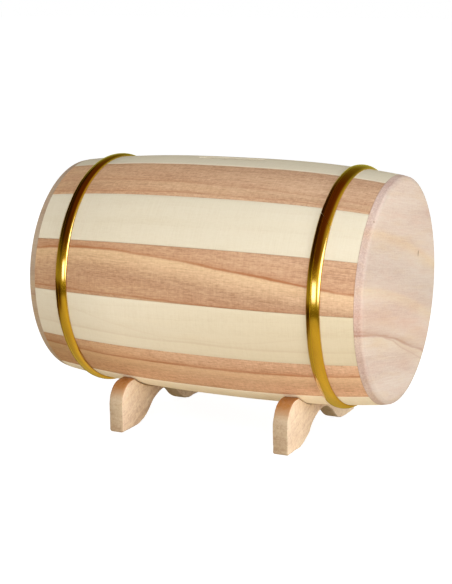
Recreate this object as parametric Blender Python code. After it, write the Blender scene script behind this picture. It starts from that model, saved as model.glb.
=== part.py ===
"""Small wooden coin bank in the shape of a wine barrel.

Fourteen staves of two woods stand round an empty coin chamber. A turned head closes each end, two golden
hoops bind the staves, and two scroll-cut cradle boards carry the barrel on four feet. Coins go in through
a slot in the top stave and come out through the left head, behind a soft stopper that pulls out.

Frame: metres, +Z up, +X along the barrel's axis towards the right head. The origin lies on the ground,
straight below the barrel's middle. Angles round the barrel are measured from the top towards -Y.
"""
import math

import bmesh
import bpy

MM = 0.001
GAP = 0.3 * MM                          # glue line or clearance between neighbouring pieces
SHARP_ANGLE = math.radians(35)          # edges sharper than this stay crisp

# Barrel
LENGTH = 146 * MM                       # over both heads
BELLY_RADIUS = 50 * MM
END_RADIUS = 45.7 * MM
BULGE_POWER = 2.5                       # 2 is a parabola; more keeps the belly fuller
AXIS_HEIGHT = 62.5 * MM
ROLL = math.radians(3)                  # the barrel sits in its cradles turned this far towards -Y

# Staves
STAVE_COUNT = 14
BORE_APOTHEM = 40 * MM                  # from the axis to a stave's flat inner face
STAVE_RINGS = 12                        # steps along the barrel
STAVE_STEPS = 5                         # steps across one stave

# Coin slot, with round ends
SLOT_LENGTH = 30 * MM
SLOT_WIDTH = 5 * MM
CUTTER_REACH = 60 * MM                  # well past the belly

# Heads
DISC_THICKNESS = 3.4 * MM               # the disc that covers the stave ends
EDGE_ROUND = 1.2 * MM
SPIGOT_RADIUS = BORE_APOTHEM - 0.4 * MM
SPIGOT_LENGTH = 5 * MM
HEAD_STEPS = 72

# Hoops
RIGHT_HOOP_OFFSET = 54.1 * MM           # from the barrel's middle; hoops are pushed on by hand
LEFT_HOOP_OFFSET = 56.0 * MM
HOOP_WIDTH = 5.5 * MM
HOOP_PROUD = 1.5 * MM                   # crown above the staves
HOOP_EDGE = 0.7 * MM                    # shoulder above the staves
HOOP_STEPS = 72
HOOP_CROWN_STEPS = 8
SEAM_GAP = 0.3 * MM
SEAM_SLANT = 1.1                        # arc length per width where the strip's ends meet
RIGHT_SEAM = math.radians(48)           # from the top towards -Y
LEFT_SEAM = math.radians(200)

# Cradle boards
CRADLE_OFFSET = 37 * MM                 # from the barrel's middle to a board's middle
BOARD_THICKNESS = 6.4 * MM
BOARD_HALF_WIDTH = 38.3 * MM
BOARD_TOP = 21 * MM
SHOULDER_RADIUS = 9 * MM
TOE_RADIUS = 1.2 * MM
TOE_INSET = 0.4 * MM                    # a foot's side leans in this much down to the ground
ARCH_HALF_WIDTH = 26 * MM               # half the distance between the flats of two feet
ARCH_HEIGHT = 10.2 * MM
SEAT_STEPS = 12                         # steps along half a seat
ROUND_STEPS = 6                         # steps round a rounded corner
ARCH_STEPS = 7

# Stopper and the outlet it closes
OUTLET_RADIUS = 16 * MM
RECESS_RADIUS = 19.3 * MM
RECESS_DEPTH = 2.2 * MM
FLANGE_RADIUS = 19 * MM
FLANGE_THICKNESS = 1.7 * MM
FLANGE_SUNK = 0.2 * MM                  # below the head's face
PLUG_LENGTH = 10 * MM                   # from the flange's face to the plug's tip
PLUG_TAPER = 0.4 * MM
PLUG_WALL = 2 * MM
FINGER_RADIUS = 11 * MM
FINGER_DEPTH = 5 * MM
WEB_THICKNESS = 1.6 * MM
PULL_BAR_WIDTH = 3 * MM
PULL_BAR_SUNK = 0.4 * MM
STOPPER_STEPS = 48

COLOURS = {                             # base colour, roughness, metallic
    "pale_wood": ((0.80, 0.72, 0.54), 0.55, 0.0),
    "brown_wood": ((0.58, 0.35, 0.21), 0.55, 0.0),
    "head_wood": ((0.77, 0.61, 0.47), 0.6, 0.0),
    "cradle_wood": ((0.80, 0.60, 0.40), 0.6, 0.0),
    "golden_metal": ((0.80, 0.55, 0.10), 0.2, 1.0),
    "black_rubber": ((0.03, 0.03, 0.03), 0.7, 0.0),
}


def clear_scene():
    for old in list(bpy.data.objects):
        bpy.data.objects.remove(old, do_unlink=True)


def make_material(name):
    colour, roughness, metallic = COLOURS[name]
    material = bpy.data.materials.new(name)
    material.use_nodes = True
    shader = material.node_tree.nodes["Principled BSDF"]
    shader.inputs["Base Color"].default_value = (*colour, 1.0)
    shader.inputs["Roughness"].default_value = roughness
    shader.inputs["Metallic"].default_value = metallic
    return material


def barrel_radius(x):
    """Outer radius of the staves at a distance x from the barrel's middle."""
    return BELLY_RADIUS - (BELLY_RADIUS - END_RADIUS) * abs(2 * x / LENGTH) ** BULGE_POWER


def finish_mesh(name, builder, material):
    """Turn a bmesh into a mesh with outward faces, smooth where it is round."""
    bmesh.ops.recalc_face_normals(builder, faces=builder.faces)
    mesh = bpy.data.meshes.new(name)
    builder.to_mesh(mesh)
    builder.free()
    if material:
        mesh.materials.append(material)
    mesh.shade_smooth()
    mesh.set_sharp_from_angle(angle=SHARP_ANGLE)
    return mesh


def place(name, mesh, parent, x=0.0, turn=0.0):
    """Put a mesh on the barrel's axis, turned about it from the top towards -Y."""
    piece = bpy.data.objects.new(name, mesh)
    bpy.context.scene.collection.objects.link(piece)
    piece.parent = parent
    piece.location = (x, 0, 0)
    piece.rotation_euler = (turn, 0, 0)
    return piece


def place_helper(name, mesh, parent, turn=0.0):
    """Place a solid that only shapes another piece, shown as wire."""
    helper = place(name, mesh, parent, turn=turn)
    helper.hide_render = True
    helper.display_type = "WIRE"
    return helper


def round_the_axis(x, radius, angle):
    return (x, -radius * math.sin(angle), radius * math.cos(angle))


def arc(centre, radius, start, end, steps):
    """Points of an arc in the (y, z) plane; angles from +Y towards +Z."""
    points = []
    for step in range(steps + 1):
        angle = start + (end - start) * step / steps
        points.append((centre[0] + radius * math.cos(angle), centre[1] + radius * math.sin(angle)))
    return points


# Staves ---------------------------------------------------------------------------------------------------

def stave_mesh(name, material):
    """One stave with its middle straight up: a curved outer face, a flat inner face and radial sides."""
    half_angle = math.pi / STAVE_COUNT
    reach = LENGTH / 2 - DISC_THICKNESS - GAP
    inset = GAP / 2
    inner_half_width = BORE_APOTHEM * math.tan(half_angle) - inset / math.cos(half_angle)
    builder = bmesh.new()
    rings = []
    for ring in range(STAVE_RINGS + 1):
        x = reach * (2 * ring / STAVE_RINGS - 1)
        radius = barrel_radius(x)
        edge = half_angle - math.asin(inset / radius)
        row = []
        for step in range(STAVE_STEPS + 1):
            angle = edge * (2 * step / STAVE_STEPS - 1)
            row.append(builder.verts.new(round_the_axis(x, radius, angle)))
        rings.append(row)
    inner = [
        [builder.verts.new((x, side * inner_half_width, BORE_APOTHEM)) for side in (1, -1)]
        for x in (-reach, reach)
    ]
    for near, far in zip(rings, rings[1:]):
        for step in range(STAVE_STEPS):
            builder.faces.new((near[step], near[step + 1], far[step + 1], far[step]))
    builder.faces.new((inner[0][0], inner[0][1], inner[1][1], inner[1][0]))
    builder.faces.new(rings[0] + [inner[0][1], inner[0][0]])
    builder.faces.new(rings[-1] + [inner[1][1], inner[1][0]])
    builder.faces.new([row[0] for row in rings] + [inner[1][0], inner[0][0]])
    builder.faces.new([row[-1] for row in rings] + [inner[1][1], inner[0][1]])
    return finish_mesh(name, builder, material)


def slot_cutter(parent):
    """A round-ended block that cuts the coin slot through the top stave."""
    half_run = (SLOT_LENGTH - SLOT_WIDTH) / 2
    right_end = arc((half_run, 0), SLOT_WIDTH / 2, -math.pi / 2, math.pi / 2, ROUND_STEPS)
    left_end = arc((-half_run, 0), SLOT_WIDTH / 2, math.pi / 2, 3 * math.pi / 2, ROUND_STEPS)
    builder = bmesh.new()
    outline = [builder.verts.new((x, y, 0)) for x, y in right_end + left_end]
    floor = builder.faces.new(outline)
    lifted = bmesh.ops.extrude_face_region(builder, geom=[floor])["geom"]
    top = [item for item in lifted if isinstance(item, bmesh.types.BMVert)]
    bmesh.ops.translate(builder, verts=top, vec=(0, 0, CUTTER_REACH))
    return place_helper("slot_cutter", finish_mesh("slot_cutter", builder, None), parent, ROLL)


def add_boolean(piece, other, operation):
    modifier = piece.modifiers.new(other.name, "BOOLEAN")
    modifier.operation = operation
    modifier.object = other
    modifier.solver = "EXACT"


def make_staves(parent, materials):
    """Staves numbered from the top towards -Y, pale and brown in turn."""
    meshes = [
        stave_mesh("pale_stave", materials["pale_wood"]),
        stave_mesh("brown_stave", materials["brown_wood"]),
    ]
    for index in range(STAVE_COUNT):
        turn = ROLL + 2 * math.pi * index / STAVE_COUNT
        stave = place(f"stave_{index + 1:02d}", meshes[index % 2], parent, turn=turn)
        if index == 0:
            add_boolean(stave, slot_cutter(parent), "DIFFERENCE")


# Turned pieces --------------------------------------------------------------------------------------------

def turned_mesh(name, profile, steps, material):
    """Spin a profile of (x, radius) points about the X axis.

    A profile whose ends lie on the axis gives a solid disc; any other profile is closed into a ring.
    """
    builder = bmesh.new()
    solid = profile[0][1] == 0 and profile[-1][1] == 0
    columns = []
    for x, radius in profile:
        if radius == 0:
            columns.append([builder.verts.new((x, 0, 0))] * steps)
        else:
            angles = [2 * math.pi * step / steps for step in range(steps)]
            columns.append([builder.verts.new(round_the_axis(x, radius, angle)) for angle in angles])
    if not solid:
        columns.append(columns[0])
    for near, far in zip(columns, columns[1:]):
        for step in range(steps):
            corners = [near[step], near[(step + 1) % steps], far[(step + 1) % steps], far[step]]
            builder.faces.new(list(dict.fromkeys(corners)))
    return finish_mesh(name, builder, material)


def disc_edge():
    """The disc's turned edge, from the staves to its rounded corner; x is the depth below its face."""
    rim = barrel_radius(LENGTH / 2 - DISC_THICKNESS)
    corner = barrel_radius(LENGTH / 2) - EDGE_ROUND
    rounded = arc((corner, EDGE_ROUND), EDGE_ROUND, 0, -math.pi / 2, ROUND_STEPS)
    return [(DISC_THICKNESS, rim)] + [(depth, radius) for radius, depth in rounded]


def mirrored(profile, side):
    """Turn depths below the head's face into x, for the right head (+1) or the left head (-1)."""
    return [(-side * depth, radius) for depth, radius in profile]


def make_heads(parent, materials):
    spigot_end = DISC_THICKNESS + SPIGOT_LENGTH
    spigot = [(spigot_end, SPIGOT_RADIUS), (DISC_THICKNESS, SPIGOT_RADIUS)]
    right_profile = [(spigot_end, 0)] + spigot + disc_edge() + [(0, 0)]
    outlet = [
        (0, RECESS_RADIUS),
        (RECESS_DEPTH, RECESS_RADIUS),
        (RECESS_DEPTH, OUTLET_RADIUS),
        (spigot_end, OUTLET_RADIUS),
    ]
    left_profile = spigot + disc_edge() + outlet
    for name, side, profile in (("right_head", 1, right_profile), ("left_head", -1, left_profile)):
        mesh = turned_mesh(name, mirrored(profile, side), HEAD_STEPS, materials["head_wood"])
        place(name, mesh, parent, x=side * LENGTH / 2, turn=ROLL)


def hoop_section(middle):
    """A hoop's section as (x, radius) points: a flat back on the tapering staves and a half-round crown."""
    half = HOOP_WIDTH / 2
    section = [(x, barrel_radius(x) + GAP) for x in (middle + half, middle - half)]
    for step in range(HOOP_CROWN_STEPS + 1):
        across = -math.cos(math.pi * step / HOOP_CROWN_STEPS)
        x = middle + across * half
        rise = HOOP_EDGE + (HOOP_PROUD - HOOP_EDGE) * math.sqrt(1 - across * across)
        section.append((x, barrel_radius(x) + rise))
    return section


def make_hoop(name, middle, seam, parent, material):
    """A strip bent round the staves; its slanted ends leave a hairline seam."""
    builder = bmesh.new()
    section = hoop_section(middle)
    gap_angle = SEAM_GAP * math.hypot(1, SEAM_SLANT) / BELLY_RADIUS
    rows = []
    for step in range(HOOP_STEPS + 1):
        turn = seam + gap_angle / 2 + (2 * math.pi - gap_angle) * step / HOOP_STEPS
        row = []
        for x, radius in section:
            slant = SEAM_SLANT * (x - middle) / BELLY_RADIUS
            row.append(builder.verts.new(round_the_axis(x, radius, turn + slant)))
        rows.append(row)
    count = len(section)
    for near, far in zip(rows, rows[1:]):
        for corner in range(count):
            after = (corner + 1) % count
            builder.faces.new((near[corner], near[after], far[after], far[corner]))
    builder.faces.new(rows[0])
    builder.faces.new(rows[-1])
    bmesh.ops.triangulate(builder, faces=[face for face in builder.faces if len(face.verts) > 4])
    place(name, finish_mesh(name, builder, material), parent)


# Cradle boards --------------------------------------------------------------------------------------------

def board_half_outline(seat_radius):
    """The +Y half of a board, from mid seat round to mid arch; z is the height above the ground."""
    embrace = math.acos((AXIS_HEIGHT - BOARD_TOP) / seat_radius)
    seat = arc((0, AXIS_HEIGHT), seat_radius, -math.pi / 2, -math.pi / 2 + embrace, SEAT_STEPS)
    shoulder_centre = (BOARD_HALF_WIDTH - SHOULDER_RADIUS, BOARD_TOP - SHOULDER_RADIUS)
    shoulder = arc(shoulder_centre, SHOULDER_RADIUS, math.pi / 2, 0, ROUND_STEPS)
    toe_centre = (BOARD_HALF_WIDTH - TOE_INSET - TOE_RADIUS, TOE_RADIUS)
    toe = arc(toe_centre, TOE_RADIUS, 0, -math.pi / 2, ROUND_STEPS // 2)
    swing = 2 * math.atan(ARCH_HEIGHT / ARCH_HALF_WIDTH)
    bend = ARCH_HALF_WIDTH / (2 * math.sin(swing))
    scroll = arc((ARCH_HALF_WIDTH, bend), bend, -math.pi / 2, -math.pi / 2 - swing, ARCH_STEPS)
    crown = arc((0, ARCH_HEIGHT - bend), bend, math.pi / 2 - swing, math.pi / 2, ARCH_STEPS)
    return seat + shoulder + toe + scroll + crown[1:]


def board_outline(seat_radius):
    half = board_half_outline(seat_radius)
    other = [(-y, z) for y, z in reversed(half[1:-1])]
    return half + other


def make_cradle(name, side, parent, material):
    """A board cut to an outline whose seat follows the barrel's taper."""
    builder = bmesh.new()
    faces = []
    for edge in (-1, 1):
        x = edge * BOARD_THICKNESS / 2
        seat_radius = barrel_radius(CRADLE_OFFSET + side * x) + GAP
        outline = board_outline(seat_radius)
        corners = [builder.verts.new((x, y, z - AXIS_HEIGHT)) for y, z in outline]
        builder.faces.new(corners)
        faces.append(corners)
    count = len(faces[0])
    for corner in range(count):
        after = (corner + 1) % count
        builder.faces.new((faces[0][corner], faces[0][after], faces[1][after], faces[1][corner]))
    place(name, finish_mesh(name, builder, material), parent, x=side * CRADLE_OFFSET)


# Stopper --------------------------------------------------------------------------------------------------

def pull_bar(parent):
    """The bar across the stopper's finger pocket; it is joined to the stopper."""
    depth = FINGER_DEPTH + WEB_THICKNESS / 2
    builder = bmesh.new()
    bmesh.ops.create_cube(builder, size=1)
    size = (depth - PULL_BAR_SUNK, PULL_BAR_WIDTH, 2 * FINGER_RADIUS + PLUG_WALL)
    bmesh.ops.scale(builder, vec=size, verts=builder.verts)
    bmesh.ops.translate(builder, vec=((depth + PULL_BAR_SUNK) / 2, 0, 0), verts=builder.verts)
    return place_helper("pull_bar", finish_mesh("pull_bar", builder, None), parent)


def make_stopper(parent, material):
    """A soft flanged plug, hollow on both sides of a web; x is measured inwards from its outer face."""
    plug_radius = OUTLET_RADIUS - GAP
    tip_radius = plug_radius - PLUG_TAPER
    profile = [
        (FINGER_DEPTH, 0),
        (FINGER_DEPTH, FINGER_RADIUS - 1 * MM),
        (FINGER_DEPTH - 1 * MM, FINGER_RADIUS),
        (0, FINGER_RADIUS),
        (0, FLANGE_RADIUS - 0.5 * MM),
        (0.5 * MM, FLANGE_RADIUS),
        (FLANGE_THICKNESS, FLANGE_RADIUS),
        (FLANGE_THICKNESS, plug_radius),
        (PLUG_LENGTH, tip_radius),
        (PLUG_LENGTH, tip_radius - PLUG_WALL),
        (FINGER_DEPTH + WEB_THICKNESS, tip_radius - PLUG_WALL),
        (FINGER_DEPTH + WEB_THICKNESS, 0),
    ]
    mesh = turned_mesh("stopper", profile, STOPPER_STEPS, material)
    stopper = place("stopper", mesh, parent, x=-LENGTH / 2 + FLANGE_SUNK)
    add_boolean(stopper, pull_bar(stopper), "UNION")


def main():
    clear_scene()
    materials = {name: make_material(name) for name in COLOURS}
    axis = bpy.data.objects.new("barrel_axis", None)
    axis.location = (0, 0, AXIS_HEIGHT)
    bpy.context.scene.collection.objects.link(axis)
    make_staves(axis, materials)
    make_heads(axis, materials)
    make_hoop("right_hoop", RIGHT_HOOP_OFFSET, RIGHT_SEAM, axis, materials["golden_metal"])
    make_hoop("left_hoop", -LEFT_HOOP_OFFSET, LEFT_SEAM, axis, materials["golden_metal"])
    make_cradle("right_cradle", 1, axis, materials["cradle_wood"])
    make_cradle("left_cradle", -1, axis, materials["cradle_wood"])
    make_stopper(axis, materials["black_rubber"])
    bpy.context.view_layer.update()


main()
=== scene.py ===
"""Looks of a small barrel-shaped wooden coin bank: detailed pieces, materials, studio and camera.

Every piece stands for one CAD node and rides on its body. Lengths are in metres in the CAD frame: +Z up,
+X along the barrel towards the right head, origin on the ground below the barrel's middle. Angles round
the barrel, called turns, are measured from the top towards -Y. Wood attributes are in millimetres.
"""

import dataclasses
import functools
import math
import random

import bmesh
import bpy
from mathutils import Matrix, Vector, noise


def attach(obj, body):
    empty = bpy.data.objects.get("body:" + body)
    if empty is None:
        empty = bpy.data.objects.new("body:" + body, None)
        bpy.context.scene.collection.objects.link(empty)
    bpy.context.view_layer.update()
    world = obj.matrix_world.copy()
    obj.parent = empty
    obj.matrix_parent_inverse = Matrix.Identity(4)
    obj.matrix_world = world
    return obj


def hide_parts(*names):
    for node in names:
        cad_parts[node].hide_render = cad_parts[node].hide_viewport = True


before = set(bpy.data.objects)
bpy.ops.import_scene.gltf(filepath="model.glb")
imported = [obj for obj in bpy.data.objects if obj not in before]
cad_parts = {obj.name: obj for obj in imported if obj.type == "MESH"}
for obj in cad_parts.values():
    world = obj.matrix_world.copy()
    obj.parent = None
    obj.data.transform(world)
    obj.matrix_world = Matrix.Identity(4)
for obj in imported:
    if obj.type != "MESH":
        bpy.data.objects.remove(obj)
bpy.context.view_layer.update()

MM = 0.001
SHARP_ANGLE = math.radians(35)

# Barrel, as in the CAD
LENGTH = 146 * MM
BELLY_RADIUS = 49.93 * MM  # just inside the CAD's 50
END_RADIUS = 45.65 * MM
BULGE_POWER = 2.5
AXIS_HEIGHT = 62.5 * MM
ROLL = math.radians(3)

# Staves
STAVE_COUNT = 14
BORE_APOTHEM = 40 * MM
STAVE_RINGS = 44
STAVE_STEPS = 12
SEAM_INSET = 0.03 * MM  # half the glue line
EASE = 0.14 * MM  # rounding of a stave's long edges
EASE_STEPS = 2
END_GAP = 0.04 * MM  # between the staves and a head
PAINTED_SHADE_START = -30 * MM  # painted shade: from here to the left end the staves get darker
PAINTED_SHADE_REACH = 35 * MM
STAVE_SHIFT = 211  # millimetres between the grain of two staves, so that none repeats

# Coin slot
SLOT_LENGTH = 30 * MM
SLOT_WIDTH = 5 * MM
SLOT_EASE = 0.35 * MM
SLOT_ROUND_STEPS = 14
CUTTER_START = 30 * MM  # from the axis, inside the chamber
CUTTER_REACH = 60 * MM

# Heads
DISC_THICKNESS = 3.4 * MM
EDGE_ROUND = 1.2 * MM  # rounding of a head's edge, along the barrel
EDGE_EASE = 2.4 * MM  # and across its face
EDGE_STEPS = 10
BACK_EASE = 0.1 * MM  # chamfer where the disc meets the staves
OUTLET_EASE = 0.2 * MM  # chamfer of the coin outlet and of its recess
SPIGOT_RADIUS = 39.6 * MM
SPIGOT_LENGTH = 5 * MM
HEAD_STEPS = 160
FACE_RINGS = 36
RIM_SHADE_DEPTH = 1.0  # millimetres behind its face where a head's painted rim shade is full
# painted shade: the left head's rim made darker, warmer and less red, as lightness, warmth, redness
LEFT_RIM_PAINTED_SHADE = (-0.31, 0.30, -0.5)
LEFT_RIM_DEPTH = 0.12  # scales its depth, which keeps the rim's speckles faint
EDGE_SHADE = 0.09  # painted shade: how much darker the rounding between face and rim is
EDGE_SHADE_RISE = 0.1  # millimetres from the face within which that starts
EDGE_SHADE_FALL = 0.5  # and before the rim within which it ends
HEAD_SHIFT = 500  # millimetres that a head's grain is moved, each head its own way

# Hoops
HOOP_WIDTH = 5.5 * MM
HOOP_PROUD = 1.5 * MM
HOOP_EDGE = 0.12 * MM
HOOP_LIFT = 0.05 * MM  # between a hoop's back and the staves
HOOP_STEPS = 220
HOOP_CROWN_STEPS = 16
HOOP_SHARP_ANGLE = math.radians(60)
HOOP_WAVES = 2.2  # how fast the bending varies round a hoop
HOOP_WANDER = 0.12 * MM  # how far a hoop strays along the barrel
HOOP_LEAN = 0.05  # and how much its crown tilts
SEAM_GAP = 0.12 * MM
SEAM_FLARE = 0.5 * MM  # how far the strip's ends part at the left edge
SEAM_SLANT = 1.1
HOOPS = (  # name, place along the barrel, turn of the seam
    ("right_hoop", 54.1 * MM, math.radians(48)),
    ("left_hoop", -56.0 * MM, math.radians(200)),
)

# Cradle boards
CRADLE_OFFSET = 37 * MM
BOARD_THICKNESS = 6.4 * MM
BOARD_HALF_WIDTH = 38.25 * MM
BOARD_TOP = 21 * MM
SHOULDER_RADIUS = 9 * MM
TOE_RADIUS = 1.2 * MM
TOE_INSET = 0.4 * MM
ARCH_HALF_WIDTH = 26 * MM
ARCH_HEIGHT = 10.2 * MM
SEAT_GAP = 0.05 * MM
SEAT_STEPS = 28
ROUND_STEPS = 10
ARCH_STEPS = 14
CRADLES = (  # name, side, rounding of the edges, how uneven their sanding is
    ("right_cradle", 1, 0.60 * MM, 0.9),
    ("left_cradle", -1, 1.1 * MM, 0.3),
)
BOARD_EASE_STEPS = 4
WEAR_SPACING = 0.22  # uneven places per millimetre
OUTLINE_STEP = 1.0 * MM
BOARD_SHARP_ANGLE = math.radians(50)
BOARD_GRAIN_SLOPE = math.radians(22)
BOARD_SHIFT = 300  # millimetres that a board's grain is moved, each board its own way
SHADE_START = 10  # millimetres up a board where its painted light towards the seat starts
SHADE_END = 20
FACE_TONE = (0.17, 0.1, 0.0)  # lightness, warmth, redness
# painted light: faces and sawn edges turn lighter towards the seat, against the shade under the barrel
FACE_SEAT_PAINTED_LIGHT = (0.30, 0.1, 0.0)
SAWN_TONE = (-0.32, 0.45, 0.0)
SAWN_SEAT_PAINTED_LIGHT = (-0.16, 0.3, 0.0)
FACE_BAND = 0.12  # millimetres within which a vertex counts as on a board's face
SEAT_SHADE_START = 14  # painted shade: millimetres up a board where its sawn edge turns orange, the barrel's shadow with warm bounce
SEAT_SHADE_END = 19

# Stopper
OUTLET_RADIUS = 16 * MM
RECESS_RADIUS = 19.3 * MM
RECESS_DEPTH = 2.2 * MM
FLANGE_RADIUS = 19 * MM
FLANGE_THICKNESS = 1.7 * MM
FLANGE_SUNK = 0.2 * MM
PLUG_GAP = 0.3 * MM
PLUG_LENGTH = 10 * MM
PLUG_TAPER = 0.4 * MM
PLUG_WALL = 2 * MM
FINGER_RADIUS = 11 * MM
FINGER_DEPTH = 5 * MM
WEB_THICKNESS = 1.6 * MM
PULL_BAR_WIDTH = 3 * MM
PULL_BAR_SUNK = 0.4 * MM
PULL_BAR_FLARE = 0.4 * MM  # how much wider each side of its foot is
PULL_BAR_CROWN = 0.9 * MM  # height of its rounded crown
PULL_BAR_STEPS = 20
LIP_ROUND = 0.5 * MM
MOUTH_ROUND = 0.4 * MM
FLOOR_ROUND = 1 * MM
TIP_EASE = 0.4 * MM
STOPPER_STEPS = 96

# Camera
CAMERA_PLACE = (0.25262, -0.54797, 0.17566)
CAMERA_AIM = (-0.0030, -0.0028, 0.0561)
CAMERA_LENS = 90.14  # millimetres, on a 36 mm sensor


# Meshes ----------

def clamped(value):
    return min(max(value, 0.0), 1.0)


def barrel_radius(x):
    """Outer radius of the staves at a distance x from the barrel's middle."""
    return BELLY_RADIUS - (BELLY_RADIUS - END_RADIUS) * abs(2 * x / LENGTH) ** BULGE_POWER


def around(x, radius, turn):
    """A point at a radius and turn about the barrel's axis."""
    return (x, -radius * math.sin(turn), AXIS_HEIGHT + radius * math.cos(turn))


def arc(centre, radius, start, end, steps):
    """Points of an arc in a plane; angles from the first axis towards the second."""
    points = []
    for step in range(steps + 1):
        angle = start + (end - start) * step / steps
        points.append((centre[0] + radius * math.cos(angle), centre[1] + radius * math.sin(angle)))
    return points


def mesh_from(name, builder, sharp=SHARP_ANGLE):
    bmesh.ops.recalc_face_normals(builder, faces=builder.faces)
    mesh = bpy.data.meshes.new(name)
    builder.to_mesh(mesh)
    builder.free()
    mesh.shade_smooth()
    mesh.set_sharp_from_angle(angle=sharp)
    return mesh


def lofted(name, rows, sharp=SHARP_ANGLE):
    """A tube through closed sections with equal numbers of points, capped at both ends."""
    builder = bmesh.new()
    rows = [[builder.verts.new(point) for point in row] for row in rows]
    count = len(rows[0])
    for near, far in zip(rows, rows[1:]):
        for corner in range(count):
            after = (corner + 1) % count
            builder.faces.new((near[corner], near[after], far[after], far[corner]))
    builder.faces.new(rows[0])
    builder.faces.new(rows[-1])
    return mesh_from(name, builder, sharp)


def turned(name, profile, steps, turn=0.0):
    """Spin a profile of (x, radius) points about the barrel's axis; radius 0 closes it at the axis."""
    builder = bmesh.new()
    solid = profile[0][1] == 0 and profile[-1][1] == 0
    columns = []
    for x, radius in profile:
        if radius == 0:
            columns.append([builder.verts.new(around(x, 0, 0))] * steps)
        else:
            angles = [turn + 2 * math.pi * step / steps for step in range(steps)]
            columns.append([builder.verts.new(around(x, radius, angle)) for angle in angles])
    if not solid:
        columns.append(columns[0])
    for near, far in zip(columns, columns[1:]):
        for step in range(steps):
            after = (step + 1) % steps
            corners = [near[step], near[after], far[after], far[step]]
            builder.faces.new(list(dict.fromkeys(corners)))
    return mesh_from(name, builder)


def add_object(name, data):
    made = bpy.data.objects.new(name, data)
    bpy.context.scene.collection.objects.link(made)
    return made


def add_vectors(mesh, name, values):
    """Store one vector for each vertex."""
    attribute = mesh.attributes.new(name, "FLOAT_VECTOR", "POINT")
    attribute.data.foreach_set("vector", [number for value in values for number in value])


def add_piece(name, mesh, material, node, body):
    """Show a mesh in place of a CAD node, riding on the node's body."""
    piece = add_object(name, mesh)
    mesh.materials.append(material)
    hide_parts(node)
    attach(piece, body)


# Staves ----------

def blend(first, second, part):
    """A point or tone part of the way from the first to the second."""
    return tuple(start + (end - start) * part for start, end in zip(first, second))


def course_at(course, along):
    """How far across a board a growth line runs; a course is offset, slope, bend and curl in millimetres."""
    offset, slope, bend, curl = course
    return offset + along * (slope + along * (bend + along * curl))


@dataclasses.dataclass
class Figure:
    """The grain of one board: a main and a second growth line, its rings and its tone.

    A growth line is offset, slope, bend and curl in millimetres; spacing is the distance between rings and
    fan its change over 100 mm. Bands are (millimetres past the main line, lightness, redness, warmth), added
    to the board's own tone. Run and fade are the gain in lightness and the loss of warmth over 100 mm, and
    the end shade is painted shade: how much darker a stave gets towards its left end.
    """

    offset: float = 0.0
    slope: float = 0.0
    bend: float = 0.0
    curl: float = 0.0
    strength: float = 0.0
    spacing: float = 6.0
    fan: float = 0.0
    light: float = 0.0
    warm: float = 0.0
    red: float = 0.0
    run: float = 0.0
    fade: float = 0.0
    painted_end_shade: float = 0.13
    bands: tuple = ((0.0, 0.0, 0.0, 0.0),)
    second: tuple = (0, 0, 0, 0)
    second_strength: float = 0.0

    def past_line(self, along, across):
        """Millimetres past the main line."""
        return across - course_at((self.offset, self.slope, self.bend, self.curl), along)

    def tone(self, along, across):
        """Lightness, warmth and redness at a point of the board."""
        below = self.past_line(along, across)
        near = self.bands[0] if below < self.bands[0][0] else self.bands[-1]
        for first, last in zip(self.bands, self.bands[1:]):
            if first[0] <= below < last[0]:
                near = blend(first, last, (below - first[0]) / (last[0] - first[0]))
        light, red, warm = near[1:]
        part = along / 100
        return (self.light + light + self.run * part, self.warm + warm - self.fade * part, self.red + red)

    def lines(self, along, across):
        """Millimetres past the main line, its strength, and the ring phase."""
        below = self.past_line(along, across)
        return (below, self.strength, below / (self.spacing * (1 + self.fan * along / 100)))

    def second_line(self, along, across):
        """Millimetres past the second line, and its strength."""
        return (across - course_at(self.second, along), self.second_strength)


def add_grain(mesh, figure, places, tones, seat_shades=None):
    """Store a board's wood coordinates; each place is along, across, depth and a shift, in millimetres.

    Tones are lightness, warmth and redness, painted shade and painted light included; the last list says how
    far the wood turns to its painted orange seat shade, 0 to 1.
    """
    add_vectors(mesh, "plank", [(along + shift, across, depth) for along, across, depth, shift in places])
    add_vectors(mesh, "figure", [figure.lines(along, across) for along, across, depth, shift in places])
    seconds = [figure.second_line(along, across) for along, across, depth, shift in places]
    seat_shades = seat_shades or [0.0] * len(places)
    add_vectors(mesh, "second", [(*second, seat_shade) for second, seat_shade in zip(seconds, seat_shades)])
    add_vectors(mesh, "tone", tones)


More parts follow.
